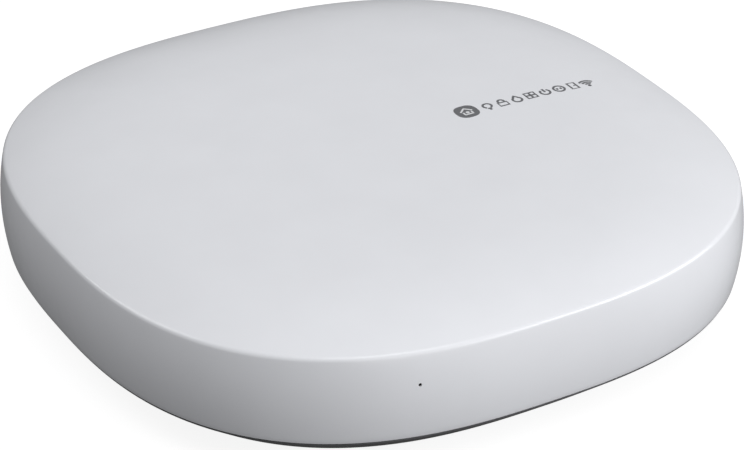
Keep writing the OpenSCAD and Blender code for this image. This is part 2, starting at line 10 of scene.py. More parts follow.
import bmesh
import bpy
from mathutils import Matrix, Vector


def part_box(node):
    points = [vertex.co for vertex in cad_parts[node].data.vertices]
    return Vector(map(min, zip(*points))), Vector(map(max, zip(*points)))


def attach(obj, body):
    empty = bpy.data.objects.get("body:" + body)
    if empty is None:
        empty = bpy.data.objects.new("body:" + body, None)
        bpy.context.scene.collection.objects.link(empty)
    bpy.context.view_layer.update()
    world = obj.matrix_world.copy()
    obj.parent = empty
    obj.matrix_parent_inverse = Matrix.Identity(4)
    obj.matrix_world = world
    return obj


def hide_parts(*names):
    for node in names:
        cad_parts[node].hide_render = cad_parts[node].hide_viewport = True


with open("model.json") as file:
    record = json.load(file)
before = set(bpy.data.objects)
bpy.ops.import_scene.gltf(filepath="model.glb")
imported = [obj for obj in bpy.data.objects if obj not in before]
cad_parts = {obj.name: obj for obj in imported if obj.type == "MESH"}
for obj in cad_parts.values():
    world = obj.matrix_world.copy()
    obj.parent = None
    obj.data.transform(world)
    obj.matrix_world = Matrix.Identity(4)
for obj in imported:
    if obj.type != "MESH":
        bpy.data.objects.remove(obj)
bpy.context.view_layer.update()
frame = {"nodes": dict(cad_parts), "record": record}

MM = 0.001

# ---------------------------------------------------------------- shape of the body

OUTLINE_POWER = 2.615      # power of the outline's superellipse
DOME_POWER = 5.5           # power of the dome's profile
WALL_BULGE = 0.8 * MM      # how far the side wall bulges out at half its height
DOME_H = 4.5 * MM          # fall from the middle of the top to the crest of the wall
CREST_R = 1.0 * MM         # radius between the side wall and the dome
SHELL_T = 2.0 * MM         # thickness of the housing and the base

housing_low, housing_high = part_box("top_housing")
base_low, base_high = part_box("bottom_cover")
label_low, label_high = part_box("rating_label")
bezel_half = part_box("port_bezel")[1].x
foot_reach, foot_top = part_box("rubber_feet")[1].x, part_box("rubber_feet")[1].z

HALF = housing_high.x                  # half width at the widest
TOP_Z = housing_high.z                 # middle of the top
FOOT_Z = housing_low.z                 # lower edge of the white wall
CREST_Z = TOP_Z - DOME_H
WALL_MID_Z = (FOOT_Z + CREST_Z) / 2
WALL_HALF_H = (CREST_Z - FOOT_Z) / 2
CREST_HALF = HALF - WALL_BULGE
LEAN = math.atan(2 * WALL_BULGE / WALL_HALF_H)


def edge_slope(rise):
    """Angle of the dome at its edge, for a dome that rises this much."""
    return math.atan(rise * DOME_POWER / HALF)


def crest_rise(slope):
    """Rise of the crest's arc, from the leaning wall to that slope."""
    return CREST_R * (math.cos(slope) - math.sin(LEAN))


SLOPE = edge_slope(DOME_H - crest_rise(edge_slope(DOME_H)))
DOME_RISE = DOME_H - crest_rise(SLOPE)
DOME_HALF = CREST_HALF - CREST_R * (math.cos(LEAN) - math.sin(SLOPE))

# The base: a flat, a sloping underside, a chamfer, a narrow side band and a lip inside the wall
BASE_Z = base_low.z
BASE_HALF = HALF - 15.5 * MM
FLOOR_Z = BASE_Z + SHELL_T
CHAMFER_HALF = HALF - 6.0 * MM
CHAMFER_Z = 2.8 * MM
BAND_Z = 7.0 * MM
RIM_Z = FOOT_Z - 0.25 * MM
RIM_HALF = base_high.x
LIP_HALF = CREST_HALF - SHELL_T - 0.3 * MM
LIP_T = 1.2 * MM
LIP_H = 2.0 * MM
LIP_GAP_HALF = bezel_half + 2.5 * MM

# The opening for the ports
OPENING_HALF = 31.2 * MM
OPENING_Z = 22.0 * MM

# What sits in the underside
FOOT_R = 6.0 * MM
FOOT_POCKET = 0.5 * MM
LABEL_POCKET = 0.3 * MM
POCKET_GAP = 0.2 * MM
LABEL_CORNER = 2 * MM
VENT_W = 1.6 * MM
VENT_LEN = 9 * MM
VENT_COUNT = 9
VENT_PITCH = 2.5 * VENT_W

PINHOLE_R = 0.3 * MM

REAR = 60        # columns of faces across the port opening
ROUND = 252      # columns of faces round the rest of the outline


def wall_half(z):
    return HALF - WALL_BULGE * ((z - WALL_MID_Z) / WALL_HALF_H) ** 2


def dome_z(share):
    return TOP_Z - DOME_RISE * share ** DOME_POWER


def top_height(x, y):
    """Height of the domed top over the point x, y."""
    reach = (abs(x) ** OUTLINE_POWER + abs(y) ** OUTLINE_POWER) ** (1 / OUTLINE_POWER)
    return dome_z(reach / DOME_HALF)


def outline_y(half, x):
    return (half ** OUTLINE_POWER - abs(x) ** OUTLINE_POWER) ** (1 / OUTLINE_POWER)


def outline_point(half, angle):
    c, s = math.cos(angle), math.sin(angle)
    reach = half * (abs(c) ** OUTLINE_POWER + abs(s) ** OUTLINE_POWER) ** (-1 / OUTLINE_POWER)
    return reach * c, reach * s


def ring(half, z, rear_half):
    """Points round the outline: across the rear from rear_half to -rear_half, then round the front."""
    rear_half = min(rear_half, half * 0.6)
    start = math.atan2(outline_y(half, rear_half), rear_half)
    span = math.pi + 2 * start
    rear_xs = [rear_half * (1 - 2 * i / REAR) for i in range(REAR + 1)]
    rear = [(x, outline_y(half, x)) for x in rear_xs]
    rest = [outline_point(half, math.pi - start + span * i / ROUND) for i in range(1, ROUND)]
    return [Vector((x, y, z)) for x, y in rear + rest]


# ---------------------------------------------------------------- mesh helpers

def new_object(name, bm, sharp_angle=32):
    """A shaded object from a bmesh: smooth, with hard edges above sharp_angle degrees."""
    bmesh.ops.recalc_face_normals(bm, faces=bm.faces)
    mesh = bpy.data.meshes.new(name)
    bm.to_mesh(mesh)
    bm.free()
    obj = bpy.data.objects.new(name, mesh)
    bpy.context.scene.collection.objects.link(obj)
    smooth(obj, sharp_angle)
    return obj


def smooth(obj, sharp_angle=32):
    obj.data.shade_smooth()
    obj.data.set_sharp_from_angle(angle=math.radians(sharp_angle))


def add_bevel(obj, width, segments=3, angle=50):
    mod = obj.modifiers.new("edge", "BEVEL")
    mod.width = width
    mod.segments = segments
    mod.limit_method = "ANGLE"
    mod.angle_limit = math.radians(angle)
    mod.use_clamp_overlap = True
    return mod


def apply_modifiers(obj, sharp_angle=32):
    """Replaces obj's mesh by what its modifiers make of it."""
    graph = bpy.context.evaluated_depsgraph_get()
    mesh = bpy.data.meshes.new_from_object(obj.evaluated_get(graph))
    obj.modifiers.clear()
    obj.data = mesh
    smooth(obj, sharp_angle)


def cut(obj, cutters):
    """Cuts the cutters out of obj and deletes them."""
    for cutter in cutters:
        mod = obj.modifiers.new("cut", "BOOLEAN")
        mod.operation = "DIFFERENCE"
        mod.solver = "EXACT"
        mod.object = cutter
    apply_modifiers(obj)
    for cutter in cutters:
        bpy.data.objects.remove(cutter)


def prism(name, outline, z0, z1):
    """A closed prism on a list of (x, y) points."""
    bm = bmesh.new()
    low = [bm.verts.new((x, y, z0)) for x, y in outline]
    high = [bm.verts.new((x, y, z1)) for x, y in outline]
    bm.faces.new(low[::-1])
    bm.faces.new(high)
    for i in range(len(outline)):
        j = (i + 1) % len(outline)
        bm.faces.new((low[i], low[j], high[j], high[i]))
    return new_object(name, bm)


def rounded_rectangle(width, depth, radius, centre=(0, 0), steps=8):
    points = []
    for corner, (sx, sy) in enumerate(((1, 1), (-1, 1), (-1, -1), (1, -1))):
        for i in range(steps + 1):
            a = math.pi / 2 * (corner + i / steps)
            points.append((centre[0] + sx * (width / 2 - radius) + radius * math.cos(a),
                           centre[1] + sy * (depth / 2 - radius) + radius * math.sin(a)))
    return points


def circle(radius, centre=(0, 0), steps=64):
    return [(centre[0] + radius * math.cos(2 * math.pi * i / steps),
             centre[1] + radius * math.sin(2 * math.pi * i / steps)) for i in range(steps)]


def grid_faces(bm, low, high, columns, flip=False):
    """Quads between two rows of vertices, at the given columns."""
    for c in columns:
        d = (c + 1) % len(low)
        quad = (low[c], low[d], high[d], high[c])
        bm.faces.new(quad[::-1] if flip else quad)


def fan(bm, row, z, flip=False):
    """Closes a row of vertices with triangles round a point in its middle."""
    middle = bm.verts.new((0, 0, z))
    for c in range(len(row)):
        triangle = (row[c], row[(c + 1) % len(row)], middle)
        bm.faces.new(triangle[::-1] if flip else triangle)


# ---------------------------------------------------------------- the pieces

BELOW_OPENING = 14      # rows of faces of the wall below the opening's upper edge
ABOVE_OPENING = 3
CREST_ROWS = 8
DOME_ROWS = 30


def housing_profile():
    """Half widths and heights of the housing's outside and inside, from the wall's foot inwards."""
    centre_share = 0.03
    inner_ratio = (CREST_HALF - SHELL_T - 0.4 * MM) / DOME_HALF
    corner_z = CREST_Z - 1.6 * MM

    outer, inner = [], []
    heights = [FOOT_Z + (OPENING_Z - FOOT_Z) * i / BELOW_OPENING for i in range(BELOW_OPENING)]
    heights += [OPENING_Z + (CREST_Z - OPENING_Z) * i / ABOVE_OPENING for i in range(ABOVE_OPENING + 1)]
    for z in heights:
        outer.append((wall_half(z), z))
        inner.append((wall_half(z) - SHELL_T, min(z, corner_z + (z - FOOT_Z) * 0.02)))
    arc_end = math.pi / 2 - SLOPE
    inner_start = inner[-1]
    inner_end = (DOME_HALF * inner_ratio, dome_z(1) - SHELL_T)
    for i in range(1, CREST_ROWS + 1):
        a = LEAN + (arc_end - LEAN) * i / CREST_ROWS
        outer.append((CREST_HALF + CREST_R * (math.cos(a) - math.cos(LEAN)),
                      CREST_Z + CREST_R * (math.sin(a) - math.sin(LEAN))))
        t = i / CREST_ROWS
        inner.append(tuple(p + (q - p) * t for p, q in zip(inner_start, inner_end)))
    for i in range(1, DOME_ROWS + 1):
        share = 1 - (1 - centre_share) * (i / DOME_ROWS) ** 1.25
        outer.append((DOME_HALF * share, dome_z(share)))
        inner.append((DOME_HALF * share * inner_ratio, dome_z(share) - SHELL_T))
    return outer, inner


def make_housing():
    """The white housing: a shell with the port opening at the rear and the pinhole in front."""
    outer, inner = housing_profile()
    bm = bmesh.new()
    outside = [[bm.verts.new(p) for p in ring(h, z, OPENING_HALF)] for h, z in outer]
    inside = [[bm.verts.new(p) for p in ring(h, z, OPENING_HALF)] for h, z in inner]
    columns = range(REAR + ROUND)
    closed_columns = range(REAR, REAR + ROUND)
    for k in range(len(outer) - 1):
        kept = closed_columns if k < BELOW_OPENING else columns
        grid_faces(bm, outside[k], outside[k + 1], kept)
        grid_faces(bm, inside[k], inside[k + 1], kept, flip=True)
        if k < BELOW_OPENING:
            bm.faces.new((outside[k][0], outside[k + 1][0], inside[k + 1][0], inside[k][0]))
            bm.faces.new((inside[k][REAR], inside[k + 1][REAR], outside[k + 1][REAR], outside[k][REAR]))
    grid_faces(bm, inside[0], outside[0], closed_columns)
    grid_faces(bm, inside[BELOW_OPENING], outside[BELOW_OPENING], range(REAR))
    fan(bm, outside[-1], TOP_Z)
    fan(bm, inside[-1], TOP_Z - SHELL_T, flip=True)
    housing = new_object("hub_housing", bm)
    add_bevel(housing, 0.25 * MM)
    apply_modifiers(housing)
    cut(housing, [pinhole_cutter()])
    return housing


def pinhole_cutter():
    """A cutter through the front wall, before the tip of the light guide."""
    guide_low, guide_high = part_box("light_guide")
    guide_r = 1.5 * MM
    depth = 6 * MM
    hole = prism("pinhole_cutter", circle(PINHOLE_R, steps=32), 0, depth)
    hole.rotation_euler = (math.radians(90), 0, 0)
    hole.location = ((guide_low.x + guide_high.x) / 2, guide_low.y + depth / 2, guide_high.z - guide_r)
    bpy.context.view_layer.update()
    return hole


def rounded_corner(before, corner, after, reach, steps=5):
    """Points of a curve that rounds a corner of a profile and starts this far from it."""
    before, corner, after = Vector(before), Vector(corner), Vector(after)
    start = corner + (before - corner).normalized() * reach
    end = corner + (after - corner).normalized() * reach
    points = []
    for i in range(steps + 1):
        t = i / steps
        points.append(tuple(start * (1 - t) ** 2 + corner * 2 * t * (1 - t) + end * t * t))
    return points


def base_profile():
    """Half widths and heights of the base's outside, its lip and its inside."""
    # The underside slopes up to a chamfer, and the side band stands on the chamfer
    corners = [(BASE_HALF, BASE_Z), (CHAMFER_HALF - 1.5 * MM, CHAMFER_Z - 0.65 * MM),
               (CHAMFER_HALF, CHAMFER_Z), (RIM_HALF, BAND_Z), (RIM_HALF, RIM_Z)]
    corner_reach = [0.6 * MM, 0.6 * MM, 0.1 * MM]
    outside = [(BASE_HALF - 0.8 * MM, BASE_Z), (BASE_HALF - 0.3 * MM, BASE_Z)]
    for before, corner, after, reach in zip(corners, corners[1:], corners[2:], corner_reach):
        outside += rounded_corner(before, corner, after, reach)
    outside.append((RIM_HALF, RIM_Z))
    lip_inner = LIP_HALF - LIP_T
    lip = [(LIP_HALF, RIM_Z), (LIP_HALF, RIM_Z + LIP_H), (lip_inner, RIM_Z + LIP_H), (lip_inner, RIM_Z)]
    inside = [(CHAMFER_HALF - 2.1 * MM, CHAMFER_Z + 0.7 * MM), (BASE_HALF - 0.4 * MM, FLOOR_Z)]
    return outside, lip, inside


def make_base():
    """The grey base: a shallow bowl with a lip, pockets and vents."""
    outside, lip, inside = base_profile()
    rows = outside + lip + inside
    lip_top = (len(outside) + 1, len(outside) + 2)
    bm = bmesh.new()
    grid = []
    for k, (half, z) in enumerate(rows):
        points = ring(half, z, LIP_GAP_HALF)
        if k in lip_top:
            # The lip is left out behind the port recess
            for c in range(REAR + 1):
                points[c].z = RIM_Z + 0.02 * MM
        grid.append([bm.verts.new(p) for p in points])
    for k in range(len(rows) - 1):
        grid_faces(bm, grid[k], grid[k + 1], range(REAR + ROUND))
    bm.faces.new(grid[0][::-1])
    bm.faces.new(grid[-1])
    base = new_object("hub_base", bm)
    add_bevel(base, 0.2 * MM, segments=2, angle=60)
    apply_modifiers(base)
    cut(base, underside_cutters())
    return base


def underside_cutters():
    """Cutters for the label pocket, the foot pockets and the two rows of vents."""
    below = BASE_Z - 1 * MM
    label = label_high - label_low
    width, depth = label.x + 2 * POCKET_GAP, label.y + 2 * POCKET_GAP
    pocket = rounded_rectangle(width, depth, LABEL_CORNER + POCKET_GAP)
    cutters = [prism("label_cutter", pocket, below, BASE_Z + LABEL_POCKET)]
    for centre in foot_centres():
        pocket = circle(FOOT_R + POCKET_GAP, centre)
        cutters.append(prism("foot_cutter", pocket, below, BASE_Z + FOOT_POCKET))
    row_y = label.y / 2 + 3 * MM + VENT_LEN / 2
    for side in (-1, 1):
        for i in range(VENT_COUNT):
            centre = ((i - (VENT_COUNT - 1) / 2) * VENT_PITCH, side * row_y)
            vent = rounded_rectangle(VENT_W, VENT_LEN, VENT_W * 0.49, centre, steps=6)
            cutters.append(prism("vent_cutter", vent, below, FLOOR_Z + 1 * MM))
    return cutters


def foot_centres():
    reach = foot_reach - FOOT_R
    return [(sx * reach, sy * reach) for sx in (-1, 1) for sy in (-1, 1)]


def make_foot(index, centre):
    """A rubber foot: a disc with a raised contact ring, a dished middle and a rounded edge."""
    edge_r = 0.5 * MM
    edge_steps = 5
    dish = [(0, 0.22), (0.6, 0.215), (3.6, 0.19), (4.15, 0.12), (4.3, 0.03)]
    contact = [(4.45, 0), (5.2, 0), (5.35, 0.03)]
    profile = [(r * MM, z * MM) for r, z in dish + contact]
    edge_z = profile[-1][1]
    for i in range(1, edge_steps + 1):
        a = math.pi / 2 * i / edge_steps
        profile.append((FOOT_R - edge_r * (1 - math.sin(a)), edge_r * (1 - math.cos(a)) + edge_z))
    profile += [(FOOT_R, foot_top), (0, foot_top)]
    steps = 72
    bm = bmesh.new()
    rows = []
    for r, z in profile:
        if r == 0:
            rows.append([bm.verts.new((centre[0], centre[1], z))])
        else:
            rows.append([bm.verts.new((x, y, z)) for x, y in circle(r, centre, steps)])
    for low, high in zip(rows, rows[1:]):
        for c in range(steps):
            d = (c + 1) % steps
            if len(low) == 1:
                bm.faces.new((low[0], high[c], high[d]))
            elif len(high) == 1:
                bm.faces.new((low[c], low[d], high[0]))
            else:
                bm.faces.new((low[c], low[d], high[d], high[c]))
    return new_object(f"hub_foot_{index}", bm)


def make_label():
    size = label_high - label_low
    outline = rounded_rectangle(size.x, size.y, LABEL_CORNER)
    return prism("hub_label", outline, label_low.z, label_high.z)


# ---------------------------------------------------------------- the print on the top

PRINT_RISE = 0.012 * MM     # how far the print stands above the top
PRINT_SINK = 0.02 * MM      # how far it goes into the top
STROKE = 0.46 * MM
FIRST_SIGN_X = 25.7 * MM
SIGN_PITCH = 3.16 * MM

BADGE_CENTRE = Vector((21.2 * MM, 0.2 * MM))
BADGE_HALF = 2.3 * MM
HOUSE_STROKE = 0.36 * MM


def ribbon(bm, points, closed=False, width=STROKE, rise=PRINT_RISE):
    """A printed line of that width along the points, laid on the domed top."""
    count = len(points)
    stations = []
    for i, (x, y) in enumerate(points):
        before = points[i - 1] if closed or i > 0 else points[i]
        after = points[(i + 1) % count] if closed or i < count - 1 else points[i]
        tangent = Vector((after[0] - before[0], after[1] - before[1])).normalized()
        side = Vector((-tangent.y, tangent.x)) * width / 2
        section = []
        for sign, lift in ((1, rise), (-1, rise), (-1, -PRINT_SINK), (1, -PRINT_SINK)):
            px, py = x + sign * side.x, y + sign * side.y
            section.append(bm.verts.new((px, py, top_height(px, py) + lift)))
        stations.append(section)
    pairs = list(zip(stations, stations[1:] + ([stations[0]] if closed else [])))
    for a, b in pairs if closed else pairs[:count - 1]:
        for i in range(4):
            j = (i + 1) % 4
            bm.faces.new((a[i], a[j], b[j], b[i]))
    if not closed:
        bm.faces.new(stations[0][::-1])
        bm.faces.new(stations[-1])


def arc(cx, cy, radius, start, end, steps=20):
    angles = [math.radians(start + (end - start) * i / steps) for i in range(steps + 1)]
    return [(cx + radius * math.cos(a), cy + radius * math.sin(a)) for a in angles]


def line(x0, y0, x1, y1, steps=4):
    return [(x0 + (x1 - x0) * i / steps, y0 + (y1 - y0) * i / steps) for i in range(steps + 1)]


# Each sign is a list of paths in millimetres round its middle, each with whether it is closed

def lamp_sign():
    return [(arc(0, 0.25, 0.85, -60, 240), False), (line(-0.42, -0.8, 0.42, -0.8), False),
            (line(-0.25, -1.2, 0.25, -1.2), False)]


def lock_sign():
    body = [(-0.95, -1.15), (0.95, -1.15), (0.95, 0.1), (-0.95, 0.1)]
    shackle = line(-0.6, 0.1, -0.6, 0.45, 2) + arc(0, 0.55, 0.6, 175, 5, 12) + [(0.6, 0.45), (0.6, 0.1)]
    return [(body, True), (shackle, False)]


def drop_sign():
    right, left = line(0.14, 1.0, 0.7, 0.2, 3), line(-0.7, 0.2, -0.14, 1.0, 3)
    return [([(0, 1.25)] + right + arc(0, -0.3, 0.9, 35, -215, 24) + left, True)]


def window_sign():
    sash = [(-1.05, -1.05), (1.05, -1.05), (1.05, 1.05), (-1.05, 1.05)]
    return [(sash, True), (line(0, -1.05, 0, 1.05), False), (line(-1.05, 0, 1.05, 0), False)]


def power_sign():
    return [(arc(0, -0.1, 0.98, 125, 415), False), (line(0, -0.1, 0, 1.2), False)]


def socket_sign():
    return [(arc(0, 0, 1.1, 0, 345, 23), True), (line(-0.4, -0.3, -0.4, 0.3, 2), False),
            (line(0.4, -0.3, 0.4, 0.3, 2), False)]


def door_sign():
    return [([(-0.75, -1.2), (0.75, -1.2), (0.75, 1.2), (-0.75, 1.2)], True),
            (line(0.3, -0.15, 0.3, 0.15, 2), False)]


def signal_sign():
    waves = [(arc(0, -1.05, r, 45, 135, 12), False) for r in (0.8, 1.45, 2.1)]
    return waves + [(arc(0, -1.0, 0.16, 0, 315, 7), True)]


def make_print():
    """A row of plain household signs, printed in thin lines."""
    signs = [lamp_sign(), lock_sign(), drop_sign(), window_sign(), power_sign(), socket_sign(),
             door_sign(), signal_sign()]
    bm = bmesh.new()
    for i, sign in enumerate(signs):
        sign_x = FIRST_SIGN_X + i * SIGN_PITCH
        for points, closed in sign:
            ribbon(bm, [(sign_x + x * MM, y * MM) for x, y in points], closed)
    return new_object("top_print", bm)


def make_badge():
    """A rounded-square badge laid on the domed top."""
    centre = BADGE_CENTRE
    rings, columns = 8, 72
    bm = bmesh.new()

    def at(x, y, lift):
        return bm.verts.new((x, y, top_height(x, y) + lift))

    rows = []
    for k in range(1, rings + 1):
        points = [outline_point(BADGE_HALF * k / rings, 2 * math.pi * c / columns) for c in range(columns)]
        rows.append([at(centre.x + x, centre.y + y, PRINT_RISE) for x, y in points])
    under = [at(v.co.x, v.co.y, -PRINT_SINK) for v in rows[-1]]
    middle = at(centre.x, centre.y, PRINT_RISE)
    for c in range(columns):
        bm.faces.new((rows[0][c], rows[0][(c + 1) % columns], middle))
    for low, high in zip(rows, rows[1:]):
        grid_faces(bm, high, low, range(columns))
    grid_faces(bm, under, rows[-1], range(columns))
    bm.faces.new(under[::-1])
    return new_object("top_badge", bm)


def make_badge_house():
    """A plain house in white lines on the badge."""
    roof = [(-1.25, 0.05), (0, 1.2), (1.25, 0.05)]
    walls = [(-0.85, -0.15), (-0.85, -1.05), (0.85, -1.05), (0.85, -0.15)]
    paths = []
    for corners in (roof, walls):
        path = []
        for a, b in zip(corners, corners[1:]):
            path += line(*a, *b, 6)[:-1]
        paths.append((path + [corners[-1]], False))
    paths.append((arc(0, -0.35, 0.22, 0, 315, 7), True))
    bm = bmesh.new()
    for path, closed in paths:
        points = [(BADGE_CENTRE.x + x * MM, BADGE_CENTRE.y + y * MM) for x, y in path]
        ribbon(bm, points, closed, width=HOUSE_STROKE, rise=2 * PRINT_RISE)
    return new_object("top_badge_house", bm)


# ---------------------------------------------------------------- materials

class Material:
    """A node material with a principled shader and helpers that add texture nodes in object space."""

    def __init__(self, name, roughness=0.5, metallic=0.0, ior=1.55):
        self.material = bpy.data.materials.new(name)
        self.material.use_nodes = True
        self.nodes = self.material.node_tree.nodes
        self.links = self.material.node_tree.links
        self.shader = self.nodes["Principled BSDF"]
        self.shader.inputs["Roughness"].default_value = roughness
        self.shader.inputs["Metallic"].default_value = metallic
        self.shader.inputs["IOR"].default_value = ior
        coordinates = self.nodes.new("ShaderNodeTexCoord")
        self.space = coordinates.outputs["Object"]

    def stretched(self, scale):
        """Object coordinates stretched by scale along each axis."""
        mapping = self.nodes.new("ShaderNodeMapping")
        mapping.inputs["Scale"].default_value = scale
        self.links.new(self.space, mapping.inputs["Vector"])
        return mapping.outputs["Vector"]

    def noise(self, size, detail=2.0, space=None, contrast=0.5):
        """Noise with features of this size in metres."""
        node = self.nodes.new("ShaderNodeTexNoise")
        node.inputs["Scale"].default_value = 1 / size
        node.inputs["Detail"].default_value = detail
        node.inputs["Roughness"].default_value = contrast
        self.links.new(space or self.space, node.inputs["Vector"])
        return node.outputs["Fac"]

    def spread(self, value, low, high, from_low=0.3, from_high=0.7):
        """Maps a texture's value to a range."""
        node = self.nodes.new("ShaderNodeMapRange")
        node.inputs["From Min"].default_value = from_low
        node.inputs["From Max"].default_value = from_high
        node.inputs["To Min"].default_value = low
        node.inputs["To Max"].default_value = high
        self.links.new(value, node.inputs["Value"])
        return node.outputs["Result"]

    def mix(self, factor, first, second):
        """Blends two colours by a texture's value."""
        node = self.nodes.new("ShaderNodeMix")
        node.data_type = "RGBA"
        self.links.new(factor, node.inputs["Factor"])
        for socket, colour in (("A", first), ("B", second)):
            target = [s for s in node.inputs if s.name == socket and s.type == "RGBA"][0]
            if isinstance(colour, tuple):
                target.default_value = (*colour, 1)
            else:
                self.links.new(colour, target)
        return [s for s in node.outputs if s.type == "RGBA"][0]

    def colour(self, output):
        self.links.new(output, self.shader.inputs["Base Color"])

    def rough(self, output):
        self.links.new(output, self.shader.inputs["Roughness"])

    def bump(self, output, height, strength=1.0, under=None):
        """Adds relief this high in metres, over any relief already there."""
        node = self.nodes.new("ShaderNodeBump")
        node.inputs["Strength"].default_value = strength
        node.inputs["Distance"].default_value = height
        self.links.new(output, node.inputs["Height"])
        if under:
            self.links.new(under, node.inputs["Normal"])
        self.links.new(node.outputs["Normal"], self.shader.inputs["Normal"])
        return node.outputs["Normal"]


def shade(colour, factor):
    return tuple(min(1.0, c * factor) for c in colour)


def moulded_plastic(name, colour, grain=0.25 * MM, relief=0.006 * MM, roughness=(0.40, 0.48), tint=0.02):
    """Moulded plastic with a spark-eroded grain, faint mottling and uneven gloss."""
    m = Material(name)
    mottle = m.noise(14 * MM, 3)
    m.colour(m.mix(m.spread(mottle, 0, 1), shade(colour, 1 - tint), shade(colour, 1 + tint)))
    m.rough(m.spread(m.noise(3 * MM, 4), *roughness))
    fine = m.bump(m.noise(grain, 2), relief)
    m.bump(m.noise(grain * 9, 2), relief * 1.2, under=fine)
    return m.material


def rubber(name, colour):
    m = Material(name, ior=1.5)
    m.colour(m.mix(m.spread(m.noise(1.5 * MM, 4), 0, 1), colour, shade(colour, 1.7)))
    m.rough(m.spread(m.noise(0.8 * MM, 3), 0.62, 0.85))
    m.bump(m.noise(0.12 * MM, 3), 0.01 * MM)
    return m.material


def sheet_metal(name, colour, streak=(1, 60, 1), roughness=(0.22, 0.42), relief=0.002 * MM):
    """Rolled or plated metal with fine streaks along one axis."""
    m = Material(name, metallic=1.0)
    along = m.stretched(streak)
    streaks = m.noise(2 * MM, 4, along)
    m.colour(m.mix(m.spread(streaks, 0, 1), shade(colour, 0.9), shade(colour, 1.05)))
    m.rough(m.spread(m.noise(1.2 * MM, 3, along), *roughness))
    m.bump(streaks, relief)
    return m.material


def solder_mask(name, colour):
    """A circuit board: solder mask over copper tracks and pads."""
    m = Material(name, ior=1.5)
    blocks = m.stretched((1, 1, 0))
    brick = m.nodes.new("ShaderNodeTexBrick")
    brick.inputs["Scale"].default_value = 1 / (12 * MM)
    brick.inputs["Mortar Size"].default_value = 0.012
    brick.inputs["Color1"].default_value = (0, 0, 0, 1)
    brick.inputs["Color2"].default_value = (0.15, 0.15, 0.15, 1)
    brick.inputs["Mortar"].default_value = (1, 1, 1, 1)
    m.links.new(blocks, brick.inputs["Vector"])
    tracks = m.spread(brick.outputs["Color"], 0, 1, 0.1, 0.9)
    m.colour(m.mix(tracks, colour, shade(colour, 2.2)))
    m.rough(m.spread(m.noise(2 * MM, 3), 0.25, 0.4))
    m.bump(brick.outputs["Fac"], 0.03 * MM)
    return m.material


def clear_plastic(name):
    m = Material(name, ior=1.49)
    m.shader.inputs["Transmission Weight"].default_value = 0.9
    m.colour(m.mix(m.noise(6 * MM, 2), (0.93, 0.95, 0.97), (0.97, 0.98, 0.99)))
    m.rough(m.spread(m.noise(1 * MM, 3), 0.05, 0.16))
    m.bump(m.noise(0.6 * MM, 2), 0.003 * MM)
    return m.material


def printed_ink(name, colour):
    m = Material(name)
    m.colour(m.mix(m.spread(m.noise(0.35 * MM, 3), 0, 1), shade(colour, 0.92), shade(colour, 1.08)))
    m.rough(m.spread(m.noise(0.5 * MM, 2), 0.38, 0.5))
    m.bump(m.noise(0.2 * MM, 2), 0.003 * MM)
    return m.material


def make_materials():
    """One finish for each material slot of the record."""
    plastic = moulded_plastic
    return {
        "white_plastic": plastic("white_plastic", (0.797, 0.808, 0.845), roughness=(0.21, 0.262),
                                 tint=0.012),
        "grey_plastic": plastic("grey_plastic", (0.10, 0.10, 0.105), relief=0.012 * MM, tint=0.06),
        "port_plastic": plastic("port_plastic", (0.05, 0.05, 0.054), relief=0.012 * MM, tint=0.08),
        "foot_rubber": rubber("foot_rubber", (0.018, 0.018, 0.018)),
        "label_film": plastic("label_film", (0.55, 0.56, 0.57), grain=0.1 * MM, relief=0.002 * MM),
        "screw_steel": sheet_metal("screw_steel", (0.62, 0.62, 0.63)),
        "circuit_board": solder_mask("circuit_board", (0.015, 0.11, 0.045)),
        "chip_black": plastic("chip_black", (0.022, 0.022, 0.024), grain=0.12 * MM, tint=0.1),
        "tinned_steel": sheet_metal("tinned_steel", (0.66, 0.65, 0.62)),
        "thermal_pad": rubber("thermal_pad", (0.40, 0.45, 0.56)),
        "tape": rubber("tape", (0.55, 0.55, 0.52)),
        "heat_sink_alloy": sheet_metal("heat_sink_alloy", (0.55, 0.55, 0.57), streak=(60, 1, 1)),
        "jack_plastic": plastic("jack_plastic", (0.02, 0.02, 0.022), grain=0.15 * MM, tint=0.1),
        "gold_contact": sheet_metal("gold_contact", (0.88, 0.62, 0.22), roughness=(0.12, 0.25)),
        "jack_pin_metal": sheet_metal("jack_pin_metal", (0.74, 0.73, 0.70), roughness=(0.1, 0.22)),
        "button_plastic": plastic("button_plastic", (0.23, 0.23, 0.235), tint=0.05),
        "ivory_plastic": plastic("ivory_plastic", (0.72, 0.69, 0.60), tint=0.03),
        "clear_plastic": clear_plastic("clear_plastic"),
        # The smoked lens behind the pinhole is nearly black: a real lens, made this dark as painted shade
        # that stands for the dark inside of the hole
        "smoked_plastic": plastic("smoked_plastic", (0.006, 0.006, 0.007), roughness=(0.12, 0.2)),
        "antenna_board": solder_mask("antenna_board", (0.22, 0.13, 0.035)),
        "cable_jacket": rubber("cable_jacket", (0.015, 0.015, 0.016)),
        "ferrite": plastic("ferrite", (0.09, 0.09, 0.095), grain=0.3 * MM, relief=0.02 * MM, tint=0.15),
        "capacitor_can": sheet_metal("capacitor_can", (0.72, 0.72, 0.72), roughness=(0.15, 0.3)),
        "ceramic_tan": plastic("ceramic_tan", (0.42, 0.30, 0.18), grain=0.1 * MM, tint=0.08),
    }


# ---------------------------------------------------------------- putting it together

def finish_piece(obj, material, body="root", stands_for=()):
    obj.data.materials.clear()
    obj.data.materials.append(material)
    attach(obj, body)
    if stands_for:
        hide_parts(*stands_for)


materials = make_materials()
slot_of = {row["node"]: row["material_slot"] for row in frame["record"]["subparts"]}

finish_piece(make_housing(), materials["white_plastic"], stands_for=["top_housing"])
finish_piece(make_base(), materials["grey_plastic"], stands_for=["bottom_cover"])
finish_piece(make_label(), materials["label_film"], stands_for=["rating_label"])
for number, centre in enumerate(foot_centres(), 1):
    stands_for = ["rubber_feet"] if number == 1 else ()
    finish_piece(make_foot(number, centre), materials["foot_rubber"], stands_for=stands_for)

